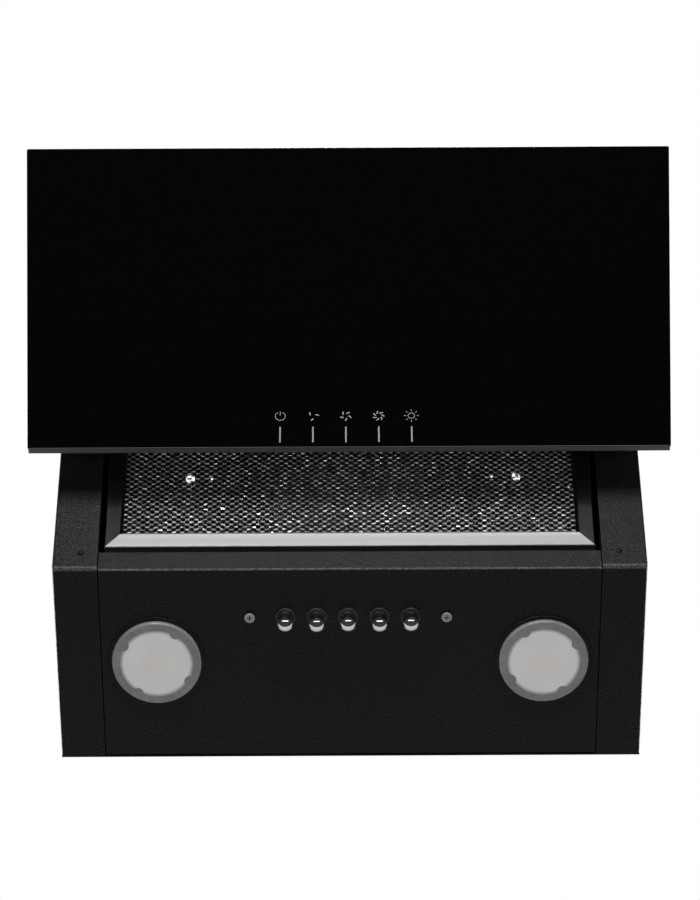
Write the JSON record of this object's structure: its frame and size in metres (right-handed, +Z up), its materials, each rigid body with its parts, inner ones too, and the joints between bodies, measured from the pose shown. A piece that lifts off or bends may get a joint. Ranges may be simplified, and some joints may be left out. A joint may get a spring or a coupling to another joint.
{
  "type": "under cabinet range hood",
  "caption": "Slanted under cabinet range hood with a hinged black glass front, removable grease filter, push buttons, lamps, blower and ducted top outlet.",
  "frame": {"origin": "middle of the wall fixing holes on the back face", "axes": "+X to the right of someone facing the hood, +Y into the wall, +Z up"},
  "size_m": [0.5558, 0.429, 0.3756],
  "materials": {
    "black_steel": "fine black powder coat",
    "zinc_steel": "zinc coated sheet",
    "black_glass": "polished opaque black glass",
    "glass_edge": "satin dark grey",
    "filter_frame": "brushed",
    "filter_mesh": "expanded, bright cut edges",
    "button_chrome": "polished",
    "screw_steel": "dull zinc",
    "lamp_lens": "frosted diffuser",
    "lamp_rim": "translucent grey",
    "black_plastic": "moulded",
    "grey_plastic": "moulded",
    "rubber": "soft",
    "circuit_board": "solder resist",
    "copper_iron": "laminated iron and windings",
    "bronze": "sintered",
    "magnet": "plated"
  },
  "bodies": {
    "housing": {"back_plate": "black_steel", "top_plate": "black_steel", "left_cheek": "black_steel", "right_cheek": "black_steel", "bottom_panel": "black_steel", "front_upper_panel": "black_steel", "inner_tray": "black_steel", "cheek_rivets": "black_steel", "left_lamp_ring": "lamp_rim", "right_lamp_ring": "lamp_rim", "left_lamp_lens": "lamp_lens", "right_lamp_lens": "lamp_lens", "left_lamp_housing": "zinc_steel", "right_lamp_housing": "zinc_steel", "lamp_boards": "circuit_board", "button_bezels": "black_plastic", "switch_block": "black_plastic", "switch_bracket": "zinc_steel", "panel_screws": "screw_steel", "hinge_brackets": "zinc_steel", "hinge_pins": "screw_steel", "catch_posts": "black_plastic", "catch_magnets": "magnet", "left_volute_half": "grey_plastic", "right_volute_half": "grey_plastic", "motor_can": "zinc_steel", "motor_stator": "copper_iron", "motor_bearings": "bronze", "motor_spider": "zinc_steel", "motor_grommets": "rubber", "duct_collar": "grey_plastic", "flap_pin": "screw_steel", "control_box": "black_plastic", "control_box_lid": "black_plastic", "run_capacitor": "grey_plastic", "cable_gland": "black_plastic"},
    "glass_door": {"glass_panel": "black_glass", "glass_trim": "glass_edge", "glass_backing": "black_steel", "touch_board": "circuit_board", "strike_plates": "magnet", "left_door_arm": "zinc_steel", "right_door_arm": "zinc_steel"},
    "grease_filter": {"filter_rail_bottom": "filter_frame", "filter_rail_top": "filter_frame", "filter_rail_left": "filter_frame", "filter_rail_right": "filter_frame", "filter_mesh": "filter_mesh", "filter_pull": "filter_frame", "filter_springs": "filter_frame"},
    "fan_wheel": {"impeller": "grey_plastic", "motor_shaft": "screw_steel", "motor_rotor": "copper_iron"},
    "front_flap": {"front_flap": "grey_plastic"},
    "back_flap": {"back_flap": "grey_plastic"},
    "button_1": {"button_cap_1": "button_chrome"},
    "button_2": {"button_cap_2": "button_chrome"},
    "button_3": {"button_cap_3": "button_chrome"},
    "button_4": {"button_cap_4": "button_chrome"},
    "button_5": {"button_cap_5": "button_chrome"}
  },
  "joints": [
    {"name": "glass_door_hinge", "type": "hinge", "parent": "housing", "child": "glass_door", "pos_m": [0, -0.3987, 0.09395], "axis": [-1, 0, 0], "range_deg": [0, 60]},
    {"name": "filter_removal", "type": "slide", "parent": "housing", "child": "grease_filter", "axis": [0, -0.832, -0.5548], "range_m": [0, 0.024]},
    {"name": "fan_spin", "type": "hinge", "parent": "housing", "child": "fan_wheel", "pos_m": [0, -0.15, -0.01], "axis": [1, 0, 0], "continuous": true},
    {"name": "front_flap_hinge", "type": "hinge", "parent": "housing", "child": "front_flap", "pos_m": [0, -0.14, 0.124], "axis": [-1, 0, 0], "range_deg": [0, 78]},
    {"name": "back_flap_hinge", "type": "hinge", "parent": "housing", "child": "back_flap", "pos_m": [0, -0.14, 0.124], "axis": [1, 0, 0], "range_deg": [0, 78]},
    {"name": "button_1_press", "type": "slide", "parent": "housing", "child": "button_1", "axis": [0, 0, 1], "range_m": [0, 0.0035], "stiffness_N_per_m": 500, "springref_m": -0.003},
    {"name": "button_2_press", "type": "slide", "parent": "housing", "child": "button_2", "axis": [0, 0, 1], "range_m": [0, 0.0035], "stiffness_N_per_m": 500, "springref_m": -0.003},
    {"name": "button_3_press", "type": "slide", "parent": "housing", "child": "button_3", "axis": [0, 0, 1], "range_m": [0, 0.0035], "stiffness_N_per_m": 500, "springref_m": -0.003},
    {"name": "button_4_press", "type": "slide", "parent": "housing", "child": "button_4", "axis": [0, 0, 1], "range_m": [0, 0.0035], "stiffness_N_per_m": 500, "springref_m": -0.003},
    {"name": "button_5_press", "type": "slide", "parent": "housing", "child": "button_5", "axis": [0, 0, 1], "range_m": [0, 0.0035], "stiffness_N_per_m": 500, "springref_m": -0.003}
  ]
}
